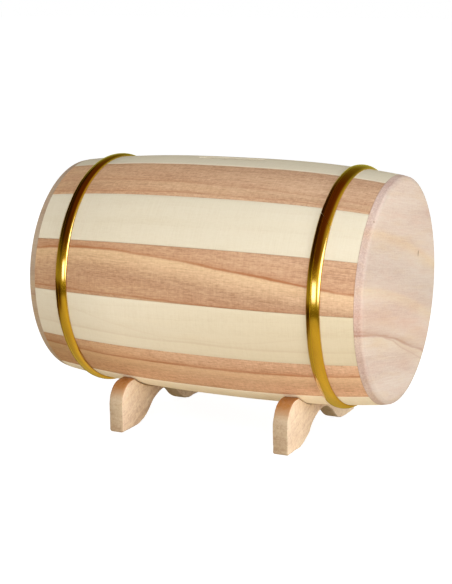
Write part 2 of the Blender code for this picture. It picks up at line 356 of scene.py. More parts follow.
# The staves that face the camera, by number
FIGURES = {
    1: Figure(offset=4, slope=0.02, spacing=7, light=-0.03),
    2: Figure(
        offset=3.5, slope=0.03, bend=0.0002, strength=0.25, spacing=3.2, fan=0.3, light=0.02, red=0.2,
        warm=0.1, fade=0.25, run=-0.06,
        second=(8.8, 0.004, 0.0001, 0), second_strength=0.5,
    ),
    3: Figure(offset=-6, slope=-0.01, spacing=9, light=-0.03, painted_end_shade=0.05),
    4: Figure(
        offset=-5.5, slope=0.107, bend=0.0006, curl=-0.0000086, strength=0.9, spacing=4.2, fan=0.2,
        warm=0.12, fade=0.25, run=0.05, painted_end_shade=0.07,
        bands=(
            (-7, -0.05, 0.5, 0.0), (-1, -0.06, 0.6, 0.0), (1, 0.07, 0.0, 0.0),
            (4.5, 0.06, 0.0, 0.0), (9, -0.11, 0.3, 0.0), (13, -0.10, 0.6, 0.0),
        ),
        second=(10.2, 0.02, 0, 0), second_strength=0.7,
    ),
    5: Figure(
        offset=5.7, slope=0.01, bend=-0.0004, strength=0.3, spacing=5, fan=0.5,
        warm=0.10, fade=-0.3, run=-0.12, painted_end_shade=0.19,
        second=(3.6, 0.03, -0.0027, 0), second_strength=0.14,
    ),
    6: Figure(
        offset=-4.2, slope=0.009, bend=-0.00027, strength=1.0, spacing=5.5, light=0.04,
        warm=0.01, fade=0.8, run=0.16, painted_end_shade=0.30,
        bands=(
            (-3, 0.10, 0.1, 0.0), (-0.5, 0.06, 0.5, 0.0), (1, 0.0, 0.8, 0.0),
            (6, 0.03, 0.7, 0.0), (10, 0.15, 0.6, 0.0),
        ),
    ),
    7: Figure(offset=3, slope=0.01, spacing=6, light=0.25, warm=-0.06),
}


def random_figure(index):
    """The grain of a stave at the back or underneath."""
    dice = random.Random(100 + index)
    strength = dice.choice((0.2, 0.6, 0.9)) if index % 2 == 0 else 0.1
    return Figure(
        offset=dice.uniform(-8, 8), slope=dice.uniform(-0.08, 0.08), bend=dice.uniform(-0.001, 0.001),
        strength=strength, spacing=dice.uniform(3.5, 8), fan=dice.uniform(-0.4, 0.4),
        light=dice.uniform(-0.05, 0.03), warm=dice.uniform(0, 0.12), red=dice.uniform(0, 0.5),
    )


def stave_section(x, turn):
    """One stave's closed outline at x: eased outer arc, radial sides and a flat inner face."""
    half = math.pi / STAVE_COUNT
    radius = barrel_radius(x)
    edge = half - math.asin(SEAM_INSET / radius)
    ease = EASE / radius
    points = [(radius, (edge - ease) * (2 * step / STAVE_STEPS - 1)) for step in range(STAVE_STEPS + 1)]
    for step in range(1, EASE_STEPS + 1):
        swing = math.pi / 2 * step / EASE_STEPS
        dropped = radius - EASE + EASE * math.cos(swing)
        moved = edge - ease + ease * math.sin(swing)
        points.append((dropped, moved))
        points.insert(0, (dropped, -moved))
    inner_half = BORE_APOTHEM * math.tan(half) - SEAM_INSET / math.cos(half)
    inner = (math.hypot(BORE_APOTHEM, inner_half), math.atan2(inner_half, BORE_APOTHEM))
    points.append(inner)
    points.insert(0, (inner[0], -inner[1]))
    return [around(x, distance, turn + angle) for distance, angle in points]


def on_slot_rim(vertex, turn):
    """Whether a point lies on the coin slot's outline at the stave's outer face."""
    height = vertex.z - AXIS_HEIGHT
    across = vertex.y * math.cos(turn) + height * math.sin(turn)
    half_run = (SLOT_LENGTH - SLOT_WIDTH) / 2
    outside = max(abs(vertex.x) - half_run, 0.0)
    near_outline = abs(math.hypot(outside, across) - SLOT_WIDTH / 2) < 0.02 * MM
    return near_outline and math.hypot(vertex.y, height) > barrel_radius(vertex.x) - 0.1 * MM


def cut_slot(mesh, turn):
    """Cut the coin slot through the top stave and ease its rim."""
    half_run = (SLOT_LENGTH - SLOT_WIDTH) / 2
    right_end = arc((half_run, 0), SLOT_WIDTH / 2, -math.pi / 2, math.pi / 2, SLOT_ROUND_STEPS)
    left_end = arc((-half_run, 0), SLOT_WIDTH / 2, math.pi / 2, 3 * math.pi / 2, SLOT_ROUND_STEPS)
    rows = []
    for height in (CUTTER_START, CUTTER_REACH):
        outline = []
        for x, across in right_end + left_end:
            y = across * math.cos(turn) - height * math.sin(turn)
            z = across * math.sin(turn) + height * math.cos(turn)
            outline.append((x, y, AXIS_HEIGHT + z))
        rows.append(outline)
    cutter = add_object("slot_cutter", lofted("slot_cutter", rows))
    stave = add_object("slotted_stave", mesh)
    modifier = stave.modifiers.new("slot", "BOOLEAN")
    modifier.object = cutter
    modifier.operation = "DIFFERENCE"
    modifier.solver = "EXACT"
    bpy.context.view_layer.update()
    evaluated = stave.evaluated_get(bpy.context.evaluated_depsgraph_get())
    builder = bmesh.new()
    builder.from_mesh(evaluated.to_mesh())
    evaluated.to_mesh_clear()
    for thing in (cutter, stave):
        bpy.data.objects.remove(thing, do_unlink=True)
    rim = [edge for edge in builder.edges if all(on_slot_rim(vertex.co, turn) for vertex in edge.verts)]
    bmesh.ops.bevel(builder, geom=rim, offset=SLOT_EASE, segments=3, profile=0.5, affect="EDGES")
    return mesh_from("slotted_stave", builder)


def describe_stave(mesh, number, turn, figure):
    """Give a stave its wood coordinates: along the barrel, round it from the stave's middle, and depth."""
    places = []
    tones = []
    for vertex in mesh.vertices:
        x, y, z = vertex.co
        angle = math.atan2(-y, z - AXIS_HEIGHT)
        across = ((angle - turn + math.pi) % (2 * math.pi) - math.pi) * BELLY_RADIUS / MM
        depth = barrel_radius(x) - math.hypot(y, z - AXIS_HEIGHT)
        places.append((x / MM, across, depth / MM, STAVE_SHIFT * number))
        light, warm, red = figure.tone(x / MM, across)
        # painted shade: darker towards the stave's left end
        part = clamped((PAINTED_SHADE_START - x) / PAINTED_SHADE_REACH)
        tones.append((light - figure.painted_end_shade * part, warm, red))
    add_grain(mesh, figure, places, tones)


def make_staves(pale, brown):
    """Staves numbered from the top towards -Y, pale and brown in turn."""
    reach = LENGTH / 2 - DISC_THICKNESS - END_GAP
    for index in range(STAVE_COUNT):
        number = index + 1
        turn = ROLL + 2 * math.pi * index / STAVE_COUNT
        stops = [reach * (2 * ring / STAVE_RINGS - 1) for ring in range(STAVE_RINGS + 1)]
        mesh = lofted(f"stave_{number:02d}_mesh", [stave_section(x, turn) for x in stops])
        if index == 0:
            mesh = cut_slot(mesh, turn)
        figure = FIGURES.get(number) or random_figure(number)
        describe_stave(mesh, number, turn, figure)
        node = f"stave_{number:02d}"
        material, slot = (pale, "pale_wood") if index % 2 == 0 else (brown, "brown_wood")
        add_piece(f"{node}_board", mesh, material, node, "barrel")


# Heads ----------

HEAD_TILT = math.radians(10)  # how far the grain drops towards +Y
RIGHT_HEAD_FIGURE = Figure(
    offset=19.8, slope=0.12, bend=0.0011, strength=0.95, spacing=11, fan=0.3,
    bands=(
        (-50, 0.0, 0.2, 0.0), (-41, 0.0, 0.2, 0.05), (-38.5, 0.03, 0.0, 0.5), (-35, -0.03, 0.0, 0.15),
        (-30, -0.05, 0.0, 0.0), (-24, -0.04, 0.0, 0.0), (-19, -0.05, 0.6, 0.0), (-17.5, 0.02, 0.0, 0.4),
        (-15, 0.02, 0.1, 0.3), (-12.5, 0.01, 0.6, 0.0), (-7, 0.0, 1.2, 0.0), (-3, 0.02, 0.2, 0.1),
        (-0.5, -0.03, 0.3, 0.1), (2, 0.02, 0.0, 0.05), (12, 0.0, 0.1, 0.0),
    ),
    second=(20.9, 0.19, 0.0012, 0), second_strength=0.6,
)
RIGHT_HEAD_FLECKS = (  # centre and half size: along with the head's shift, across, deep
    ((518.3, -15.4, 0.0), (0.5, 1.3, 1.0)),
    ((462.4, -26.1, 0.5), (0.5, 0.5, 0.6)),
)
LEFT_HEAD_FIGURE = Figure(
    offset=9, slope=-0.05, bend=0.001, strength=0.6, spacing=9, fan=0.3, light=-0.05, warm=0.25,
    bands=(
        (-30, 0.0, 0.2, 0.0), (-12, -0.03, 0.5, 0.0), (-3, 0.02, 0.1, 0.2),
        (2, 0.0, 0.3, 0.0), (15, -0.02, 0.1, 0.1),
    ),
)


def describe_head(mesh, side, figure, rim_depth, painted_rim_shade):
    """Grain runs across a head and drops towards +Y; rim depth scales how speckled its rim is."""
    places = []
    tones = []
    for vertex in mesh.vertices:
        x, y, z = vertex.co
        drop = AXIS_HEIGHT - z
        along = y * math.cos(HEAD_TILT) + drop * math.sin(HEAD_TILT)
        across = drop * math.cos(HEAD_TILT) - y * math.sin(HEAD_TILT)
        depth = (LENGTH / 2 - abs(x)) / MM
        places.append((along / MM, across / MM, rim_depth * depth, HEAD_SHIFT * side))
        tone = figure.tone(along / MM, across / MM)
        # painted shade: towards its rim a head takes its rim shade
        at_rim = clamped(depth / RIM_SHADE_DEPTH)
        # painted shade: the rounding between face and rim is darkened
        before_rim = EDGE_ROUND / MM - depth
        on_rounding = clamped(depth / EDGE_SHADE_RISE) * clamped(before_rim / EDGE_SHADE_FALL)
        light, warm, red = [value + at_rim * change for value, change in zip(tone, painted_rim_shade)]
        tones.append((light - EDGE_SHADE * on_rounding, warm, red))
    add_grain(mesh, figure, places, tones)


def head_profile(outlet):
    """Half section of a head as (depth below its face, radius)."""
    spigot_end = DISC_THICKNESS + SPIGOT_LENGTH
    rim = barrel_radius(LENGTH / 2 - DISC_THICKNESS)
    corner = barrel_radius(LENGTH / 2) - EDGE_EASE
    edge = [(DISC_THICKNESS, rim - BACK_EASE), (DISC_THICKNESS - BACK_EASE, rim)]
    for wide, deep in arc((0, 0), 1, 0, -math.pi / 2, EDGE_STEPS):
        edge.append((EDGE_ROUND * (1 + deep), corner + EDGE_EASE * wide))
    spigot = [(spigot_end, SPIGOT_RADIUS), (DISC_THICKNESS, SPIGOT_RADIUS)]
    inner = (RECESS_RADIUS + OUTLET_EASE) if outlet else 0.0
    face = [(0, corner + (inner - corner) * ring / FACE_RINGS) for ring in range(1, FACE_RINGS + 1)]
    if not outlet:
        return [(spigot_end, 0)] + spigot + edge + face
    recess = [
        (OUTLET_EASE, RECESS_RADIUS),
        (RECESS_DEPTH, RECESS_RADIUS),
        (RECESS_DEPTH, OUTLET_RADIUS + OUTLET_EASE),
        (RECESS_DEPTH + OUTLET_EASE, OUTLET_RADIUS),
        (spigot_end, OUTLET_RADIUS),
    ]
    return spigot + edge + face + recess


def make_heads(material):
    heads = (
        ("right_head", 1, RIGHT_HEAD_FIGURE, 1.0, (0.0, 0.0, 0.0)),
        ("left_head", -1, LEFT_HEAD_FIGURE, LEFT_RIM_DEPTH, LEFT_RIM_PAINTED_SHADE),
    )
    for name, side, figure, rim_depth, painted_rim_shade in heads:
        profile = [(side * (LENGTH / 2 - depth), radius) for depth, radius in head_profile(side < 0)]
        mesh = turned(f"{name}_mesh", profile, HEAD_STEPS, turn=ROLL)
        describe_head(mesh, side, figure, rim_depth, painted_rim_shade)
        add_piece(f"{name}_disc", mesh, material, name, "barrel")


# Hoops ----------

def hoop_section(middle):
    """A hoop's section as (x, radius) points: flat back, small shoulders and a half-round crown."""
    half = HOOP_WIDTH / 2
    section = [(x, barrel_radius(x) + HOOP_LIFT) for x in (middle + half, middle - half)]
    for step in range(HOOP_CROWN_STEPS + 1):
        across = -math.cos(math.pi * step / HOOP_CROWN_STEPS)
        x = middle + across * half
        rise = HOOP_EDGE + (HOOP_PROUD - HOOP_EDGE) * math.sqrt(1 - across * across)
        section.append((x, barrel_radius(x) + rise))
    return section


def make_hoop(name, middle, seam, material):
    """A strip bent round the staves, a little uneven as bent metal is, with a slanting seam."""
    section = hoop_section(middle)
    rows = []
    planks = []
    for step in range(HOOP_STEPS + 1):
        turn = seam + 2 * math.pi * step / HOOP_STEPS
        near = Vector((math.cos(turn) * HOOP_WAVES, math.sin(turn) * HOOP_WAVES, middle / MM))
        drift = noise.noise(near) * HOOP_WANDER
        lean = noise.noise(near * 1.7 + Vector((0, 0, 5))) * HOOP_LEAN
        row = []
        for x, radius in section:
            slant = SEAM_SLANT * (x - middle) / BELLY_RADIUS
            leftwards = max(0.0, (middle - x) / (HOOP_WIDTH / 2))
            parted = SEAM_GAP + SEAM_FLARE * leftwards ** 2
            slant += parted / BELLY_RADIUS * (0.5 - step / HOOP_STEPS)
            rise = radius - barrel_radius(x) - HOOP_LIFT
            tilted = radius + (lean * (x - middle) if rise > 0 else 0.0)
            row.append(around(x + drift, tilted, turn + slant))
            planks.append((turn * BELLY_RADIUS / MM, (x - middle) / MM, rise / MM))
        rows.append(row)
    mesh = lofted(f"{name}_mesh", rows, sharp=HOOP_SHARP_ANGLE)
    add_vectors(mesh, "plank", planks)
    add_piece(f"{name}_band", mesh, material, name, "barrel")


# Cradle boards ----------

def board_half_outline(seat_radius):
    """The +Y half of a board, from mid seat round to mid arch, as (y, z)."""
    embrace = math.acos((AXIS_HEIGHT - BOARD_TOP) / seat_radius)
    seat = arc((0, AXIS_HEIGHT), seat_radius, -math.pi / 2, -math.pi / 2 + embrace, SEAT_STEPS)
    shoulder_centre = (BOARD_HALF_WIDTH - SHOULDER_RADIUS, BOARD_TOP - SHOULDER_RADIUS)
    shoulder = arc(shoulder_centre, SHOULDER_RADIUS, math.pi / 2, 0, ROUND_STEPS)
    toe_centre = (BOARD_HALF_WIDTH - TOE_INSET - TOE_RADIUS, TOE_RADIUS)
    toe = arc(toe_centre, TOE_RADIUS, 0, -math.pi / 2, ROUND_STEPS // 2)
    swing = 2 * math.atan(ARCH_HEIGHT / ARCH_HALF_WIDTH)
    bend = ARCH_HALF_WIDTH / (2 * math.sin(swing))
    scroll = arc((ARCH_HALF_WIDTH, bend), bend, -math.pi / 2, -math.pi / 2 - swing, ARCH_STEPS)
    crown = arc((0, ARCH_HEIGHT - bend), bend, math.pi / 2 - swing, math.pi / 2, ARCH_STEPS)
    return seat + shoulder + toe + scroll + crown[1:]


def board_outline(x, splits=None):
    """A board's whole outline at x, its sides split into the given numbers of parts."""
    half = board_half_outline(barrel_radius(x) + SEAT_GAP)
    outline = half + [(-y, z) for y, z in reversed(half[1:-1])]
    if splits is None:
        return outline
    points = []
    for start, end, parts in zip(outline, outline[1:] + outline[:1], splits):
        points += [blend(start, end, part / parts) for part in range(parts)]
    return points


def worn(side, edge, point, roughness):
    """How much deeper or shallower than usual a board's edge is sanded at a point of its outline.

    Side tells the right board (1) from the left one, and edge its right face (1) from its left one.
    """
    y, z = (coordinate / MM for coordinate in point)
    near = Vector((y * WEAR_SPACING, z * WEAR_SPACING, 7.0 * side + 3.0 * edge))
    return 1 + roughness * (noise.noise(near) + 0.5 * noise.noise(near * 3.1))


def inset_outline(outline, distances):
    """The outline moved inwards along its corners' normals; it runs clockwise seen from +X."""
    moved = []
    count = len(outline)
    for corner in range(count):
        before = Vector(outline[corner - 1])
        here = Vector(outline[corner])
        after = Vector(outline[(corner + 1) % count])
        first = (here - before).normalized()
        second = (after - here).normalized()
        normal = Vector((first.y + second.y, -first.x - second.x)).normalized()
        shrink = distances[corner] / max(0.5, math.sqrt((1 + first.dot(second)) / 2))
        moved.append(tuple(here + normal * shrink))
    return moved


def make_cradle(name, side, ease, roughness, material):
    """A scroll-cut board with softly, unevenly sanded edges; its seat follows the barrel's taper."""
    round_edge = arc((ease, ease), ease, math.pi, 1.5 * math.pi, BOARD_EASE_STEPS)
    layers = [(1, shrink, depth) for depth, shrink in round_edge]
    layers = [(-1, shrink, depth) for edge, shrink, depth in layers] + layers[::-1]
    middle = board_outline(side * CRADLE_OFFSET)
    sides = zip(middle, middle[1:] + middle[:1])
    splits = [max(1, math.ceil(math.dist(start, end) / OUTLINE_STEP)) for start, end in sides]
    rows = []
    for edge, shrink, depth in layers:
        x = side * CRADLE_OFFSET + edge * (BOARD_THICKNESS / 2 - depth)
        outline = board_outline(x, splits)
        wear = [worn(side, edge, point, roughness) for point in outline]
        inset = inset_outline(outline, [shrink * amount for amount in wear])
        sunk = [side * CRADLE_OFFSET + edge * (BOARD_THICKNESS / 2 - depth * amount) for amount in wear]
        rows.append([(x, y, z) for x, (y, z) in zip(sunk, inset)])
    mesh = lofted(f"{name}_mesh", rows, sharp=BOARD_SHARP_ANGLE)
    describe_cradle(mesh, side)
    add_piece(f"{name}_board", mesh, material, name, "barrel")


def describe_cradle(mesh, side):
    """Grain runs slantwise across a board; sawn edges are darker than its faces. Towards the seat both turn
    lighter, painted light against the shade under the barrel, and the sawn edges turn orange, painted shade
    with a warm bounce from the barrel.
    """
    figure = Figure(offset=4, slope=0.05, spacing=4.5)
    places = []
    tones = []
    seat_shades = []
    for vertex in mesh.vertices:
        y = vertex.co.y / MM
        z = vertex.co.z / MM
        along = y * math.cos(BOARD_GRAIN_SLOPE) + z * math.sin(BOARD_GRAIN_SLOPE)
        across = y * math.sin(BOARD_GRAIN_SLOPE) - z * math.cos(BOARD_GRAIN_SLOPE)
        depth = (vertex.co.x - side * CRADLE_OFFSET) / MM
        places.append((along, across, depth, BOARD_SHIFT * side))
        on_face = abs(depth) > BOARD_THICKNESS / 2 / MM - FACE_BAND
        # painted light towards the seat, against the shade under the barrel
        reach = (z - SHADE_START) / (SHADE_END - SHADE_START)
        low, high = (FACE_TONE, FACE_SEAT_PAINTED_LIGHT) if on_face else (SAWN_TONE, SAWN_SEAT_PAINTED_LIGHT)
        tones.append(blend(low, high, clamped(reach)))
        # painted shade: the sawn edge turns orange near the seat
        seat_shades.append(0.0 if on_face else clamped((z - SEAT_SHADE_START) / (SEAT_SHADE_END - SEAT_SHADE_START)))
    add_grain(mesh, figure, places, tones, seat_shades)


# Stopper ----------

def stopper_profile():
    """Half section as (depth from the flange's outer face, radius)."""
    plug = OUTLET_RADIUS - PLUG_GAP
    tip = plug - PLUG_TAPER
    inner = tip - PLUG_WALL
    lip = arc((FLANGE_RADIUS - LIP_ROUND, LIP_ROUND), LIP_ROUND, -math.pi / 2, 0, 4)
    mouth = arc((FINGER_RADIUS + MOUTH_ROUND, MOUTH_ROUND), MOUTH_ROUND, math.pi, 1.5 * math.pi, 4)
    floor_centre = (FINGER_RADIUS - FLOOR_ROUND, FINGER_DEPTH - FLOOR_ROUND)
    floor_corner = arc(floor_centre, FLOOR_ROUND, math.pi / 2, 0, 5)
    points = [(FINGER_DEPTH, 0.0), (FINGER_DEPTH, FINGER_RADIUS / 2)]
    points += [(depth, radius) for radius, depth in floor_corner + mouth + lip]
    points += [
        (FLANGE_THICKNESS, FLANGE_RADIUS),
        (FLANGE_THICKNESS, plug),
        (PLUG_LENGTH - TIP_EASE, tip),
        (PLUG_LENGTH, tip - TIP_EASE),
        (PLUG_LENGTH, inner),
        (FINGER_DEPTH + WEB_THICKNESS, inner),
        (FINGER_DEPTH + WEB_THICKNESS, 0.0),
    ]
    return points


def make_pull_bar(outer, material):
    """The upright bar in the finger pocket; it shares the stopper's CAD node, so it replaces none."""
    top = outer + PULL_BAR_SUNK
    half_width = PULL_BAR_WIDTH / 2
    half_height = FINGER_RADIUS + PLUG_WALL / 2
    foot = (outer + FINGER_DEPTH + WEB_THICKNESS / 2, half_width + PULL_BAR_FLARE)
    crown = arc((0, 0), 1, math.pi / 2, 3 * math.pi / 2, 8)
    crown = [(top + PULL_BAR_CROWN * (1 + deep), half_width * wide) for deep, wide in crown]
    outline = [foot] + crown + [(foot[0], -foot[1])]
    heights = [half_height * (2 * step / PULL_BAR_STEPS - 1) for step in range(PULL_BAR_STEPS + 1)]
    mesh = lofted("pull_bar_mesh", [[(x, y, AXIS_HEIGHT + height) for x, y in outline] for height in heights])
    bar = add_object("stopper_pull_bar", mesh)
    mesh.materials.append(material)
    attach(bar, "stopper")


def make_stopper(material):
    outer = -LENGTH / 2 + FLANGE_SUNK
    profile = [(outer + depth, radius) for depth, radius in stopper_profile()]
    mesh = turned("stopper_mesh", profile, STOPPER_STEPS)
    add_piece("stopper_plug", mesh, material, "stopper", "stopper")
    make_pull_bar(outer, material)


# Materials ----------

class Graph:
    """Short way to write node trees: each method adds its nodes and returns their output."""

    def __init__(self, tree):
        self.tree = tree

    def node(self, kind, inputs=(), **settings):
        made = self.tree.nodes.new(kind)
        for name, value in settings.items():
            setattr(made, name, value)
        self.fill(made, inputs)
        return made

    def fill(self, node, inputs):
        for key, value in dict(inputs).items():
            self.put(node.inputs[key], value)

    def put(self, socket, value):
        if isinstance(value, bpy.types.NodeSocket):
            self.tree.links.new(value, socket)
        else:
            socket.default_value = value

    def math(self, operation, first, second=0.0):
        return self.node("ShaderNodeMath", {0: first, 1: second}, operation=operation).outputs[0]

    def total(self, *values):
        return functools.reduce(functools.partial(self.math, "ADD"), values)

    def product(self, *values):
        return functools.reduce(functools.partial(self.math, "MULTIPLY"), values)

    def vector(self, operation, first, second=(0, 0, 0)):
        return self.node("ShaderNodeVectorMath", {0: first, 1: second}, operation=operation).outputs

    def attribute(self, name):
        return self.node("ShaderNodeAttribute", attribute_name=name).outputs["Vector"]

    def parts(self, vector):
        return self.node("ShaderNodeSeparateXYZ", {0: vector}).outputs

    def join(self, values):
        return self.node("ShaderNodeCombineXYZ", dict(enumerate(values))).outputs[0]

    def noise(self, vector, scale, detail=2.0, rough=0.5):
        """Noise from 0 to 1; scale is how often it varies along each axis."""
        scaled = self.vector("MULTIPLY", vector, scale)[0]
        inputs = {"Vector": scaled, "Scale": 1.0, "Detail": detail, "Roughness": rough}
        return self.node("ShaderNodeTexNoise", inputs).outputs[0]

    def swing(self, value, amount):
        """A noise value as a signed amount round zero."""
        return self.product(self.math("SUBTRACT", value, 0.5), 2 * amount)

    def span(self, value, low, high, start=0.0, end=1.0):
        """The value's way from low to high, clamped, as start to end."""
        inputs = {"Value": value, "From Min": low, "From Max": high, "To Min": start, "To Max": end}
        return self.node("ShaderNodeMapRange", inputs, clamp=True).outputs[0]

    def ramp(self, value, stops, smooth=False):
        made = self.node("ShaderNodeValToRGB", {0: value})
        ramp = made.color_ramp
        ramp.interpolation = "EASE" if smooth else "LINEAR"
        while len(ramp.elements) < len(stops):
            ramp.elements.new(0.5)
        for element, (position, colour) in zip(ramp.elements, stops):
            element.position = position
            colour = colour if isinstance(colour, tuple) else (colour, colour, colour)
            element.color = (*colour, 1.0)
        return made.outputs[0]

    def mix(self, factor, first, second, blend_type="MIX"):
        made = self.node("ShaderNodeMix", data_type="RGBA", blend_type=blend_type)
        self.put(made.inputs[0], factor)
        for socket, value in ((made.inputs[6], first), (made.inputs[7], second)):
            self.put(socket, (*value, 1.0) if isinstance(value, tuple) else value)
        return made.outputs[2]

    def tinted(self, colour, amount, tint):
        """The colour multiplied by a tint, as far as amount says."""
        return self.mix(amount, colour, self.mix(1.0, colour, tint, "MULTIPLY"))

    def grey(self, value):
        return self.join([value] * 3)

    def bump(self, height, distance, strength):
        inputs = {"Height": height, "Distance": distance, "Strength": strength}
        return self.node("ShaderNodeBump", inputs).outputs[0]


def new_material(name):
    material = bpy.data.materials.new(name)
    material.use_nodes = True
    return material, Graph(material.node_tree), material.node_tree.nodes["Principled BSDF"]


RING_STOPS = [(0.0, 0.3), (0.45, 0.42), (0.82, 0.70), (0.93, 0.95), (1.0, 0.3)]
LINE_STOPS = [(0.0, 0.0), (0.36, 0.12), (0.46, 0.40), (0.485, 1.0), (0.505, 1.0), (0.53, 0.0)]
HONEY_STOPS = [(0.50, 0.0), (0.55, 1.0), (0.78, 0.35), (1.0, 0.0)]
SECOND_LINE_STOPS = [(0.0, 0.0), (0.40, 0.25), (0.48, 0.9), (0.52, 0.9), (0.58, 0.0)]
LINE_REACH = 10.0  # millimetres to each side that the main line's stops cover
SECOND_LINE_REACH = 3.0
WARM_TINT = (1.0, 0.86, 0.58)
RED_TINT = (1.0, 0.86, 0.80)
FLECK_COLOUR = (0.25, 0.12, 0.05)
WOOD_BUMP = 0.045 * MM


def growth_rings(graph, plank, rings, wander):
    """Faint rings that wander along the board and come and go."""
    phase = graph.parts(graph.attribute("figure"))[2]
    drift = graph.noise(plank, (0.012, 0.05, 0.05))
    ring = graph.math("FRACT", graph.total(phase, graph.swing(drift, 2.5 * wander)))
    shown = graph.span(graph.noise(plank, (0.02, 0.09, 0.09)), 0.35, 0.65, 0.2, 1.0)
    return graph.product(graph.swing(graph.ramp(ring, RING_STOPS, smooth=True), rings), shown)


def growth_lines(graph, plank, fibres, colour, line, honey, wobble):
    """Draw the board's main line, the honey-coloured wood past it, and its second line."""
    below, strength = graph.parts(graph.attribute("figure"))[0:2]
    second_below, second_strength = graph.parts(graph.attribute("second"))[0:2]
    sway = graph.swing(graph.noise(plank, (0.03, 0.12, 0.12), detail=4.0), wobble)
    rough_edge = graph.swing(fibres, 0.35)
    course = graph.span(graph.total(below, sway, rough_edge), -LINE_REACH, LINE_REACH)
    faded = graph.span(graph.noise(plank, (0.03, 0.05, 0.05), detail=1.0), 0.35, 0.6, 0.6, 1.0)
    honeyed = graph.product(graph.ramp(course, HONEY_STOPS), strength, 0.85)
    colour = graph.mix(honeyed, colour, graph.mix(0.45, colour, honey))
    colour = graph.mix(graph.product(graph.ramp(course, LINE_STOPS), strength, faded), colour, line)
    second = graph.total(second_below, graph.swing(sway, 0.5), rough_edge)
    second = graph.ramp(graph.span(second, -SECOND_LINE_REACH, SECOND_LINE_REACH), SECOND_LINE_STOPS)
    return graph.mix(graph.product(second, second_strength, faded), colour, line)


def vary_tone(graph, plank, colour, play):
    """Apply the board's stored tone, painted shade and painted light included, and let its hue drift between
    warm and red.
    """
    lightness, warmth, redness = graph.parts(graph.attribute("tone"))[0:3]
    hue = graph.noise(plank, (0.03, 0.22, 0.22), detail=4.0, rough=0.6)
    warm_amount = graph.total(warmth, graph.product(graph.span(hue, 0.5, 0.75), 0.4 * play))
    colour = graph.tinted(colour, warm_amount, WARM_TINT)
    red_amount = graph.total(redness, graph.product(graph.span(hue, 0.5, 0.25), play))
    colour = graph.tinted(colour, graph.product(red_amount, 0.6), RED_TINT)
    return graph.mix(1.0, colour, graph.grey(graph.total(1.0, lightness)), "MULTIPLY")


def speckle_rim(graph, plank, colour, rim):
    """Open end grain round a head's rim."""
    speckle = graph.noise(plank, (1.6, 1.6, 1.6), detail=5.0, rough=0.75)
    at_rim = graph.span(graph.parts(plank)[2], 0.05, 1.3)
    return graph.tinted(colour, graph.product(at_rim, graph.span(speckle, 0.36, 0.62, 0.15, 1.3)), rim)


def add_fleck(graph, plank, fine, colour, centre, half_size):
    """A small dark mark; centre and half size are along, across and deep in millimetres."""
    reach = graph.vector("SUBTRACT", plank, centre)[0]
    reach = graph.vector("MULTIPLY", reach, [1 / half for half in half_size])[0]
    reach = graph.total(graph.vector("LENGTH", reach)["Value"], graph.swing(fine, 0.2))
    return graph.mix(graph.span(reach, 0.7, 1.2, 0.9, 0.0), colour, FLECK_COLOUR)


def wood_material(name, shades, line, honey, rings, fibre, mottle, marks, pores, broad,
                  play=0.3, streak=0.16, wander=0.12, wobble=1.2, rim=None, flecks=(), seat_shade_colour=None):
    """Sanded wood. Shades run from light to dark; rings to broad are how much each part of the grain shows.

    Play is how much the hue drifts, streak how short the fibres are, wander and wobble how uneven the rings
    and the growth lines are.
    """
    material, graph, shader = new_material(name)
    plank = graph.attribute("plank")
    fibres = graph.noise(plank, (streak, 1.7, 1.7), detail=6.0, rough=0.68)
    fine = graph.noise(plank, (0.45, 4.0, 4.0), detail=3.0, rough=0.6)
    mottled = graph.noise(plank, (0.7, 0.8, 0.8), detail=5.0, rough=0.7)
    cross = graph.noise(plank, (2.0, 0.10, 0.10), detail=4.0, rough=0.6)
    wide = graph.noise(plank, (0.014, 0.09, 0.09))
    pore = graph.span(graph.noise(plank, (0.35, 2.4, 2.4)), 0.60, 0.72)
    shade = graph.total(
        0.5,
        growth_rings(graph, plank, rings, wander),
        graph.swing(fibres, fibre),
        graph.swing(fine, 0.7 * fibre),
        graph.swing(mottled, mottle),
        graph.swing(cross, marks),
        graph.swing(wide, broad),
        graph.product(pore, pores),
    )
    colour = graph.ramp(shade, list(zip((0.0, 0.5, 1.0), shades)))
    colour = growth_lines(graph, plank, fibres, colour, line, honey, wobble)
    # painted shade: the wood turns to an orange seat shade as far as the stored amount says
    if seat_shade_colour is not None:
        seat_shade = graph.parts(graph.attribute("second"))[2]
        colour = graph.mix(graph.product(seat_shade, graph.span(mottled, 0.3, 0.6, 1.0, 0.75)), colour, seat_shade_colour)
    colour = vary_tone(graph, plank, colour, play)
    if rim is not None:
        colour = speckle_rim(graph, plank, colour, rim)
    for centre, half_size in flecks:
        colour = add_fleck(graph, plank, fine, colour, centre, half_size)
    heights = ((fibres, 0.7), (fine, 0.4), (cross, 0.4), (pore, -0.6))
    height = graph.total(*[graph.product(part, share) for part, share in heights])
    graph.fill(shader, {
        "Base Color": colour,
        "Roughness": graph.span(fibres, 0.3, 0.7, 0.56, 0.70),
        "Specular IOR Level": 0.2,
        "Normal": graph.bump(height, WOOD_BUMP, 0.7),
    })
    return material


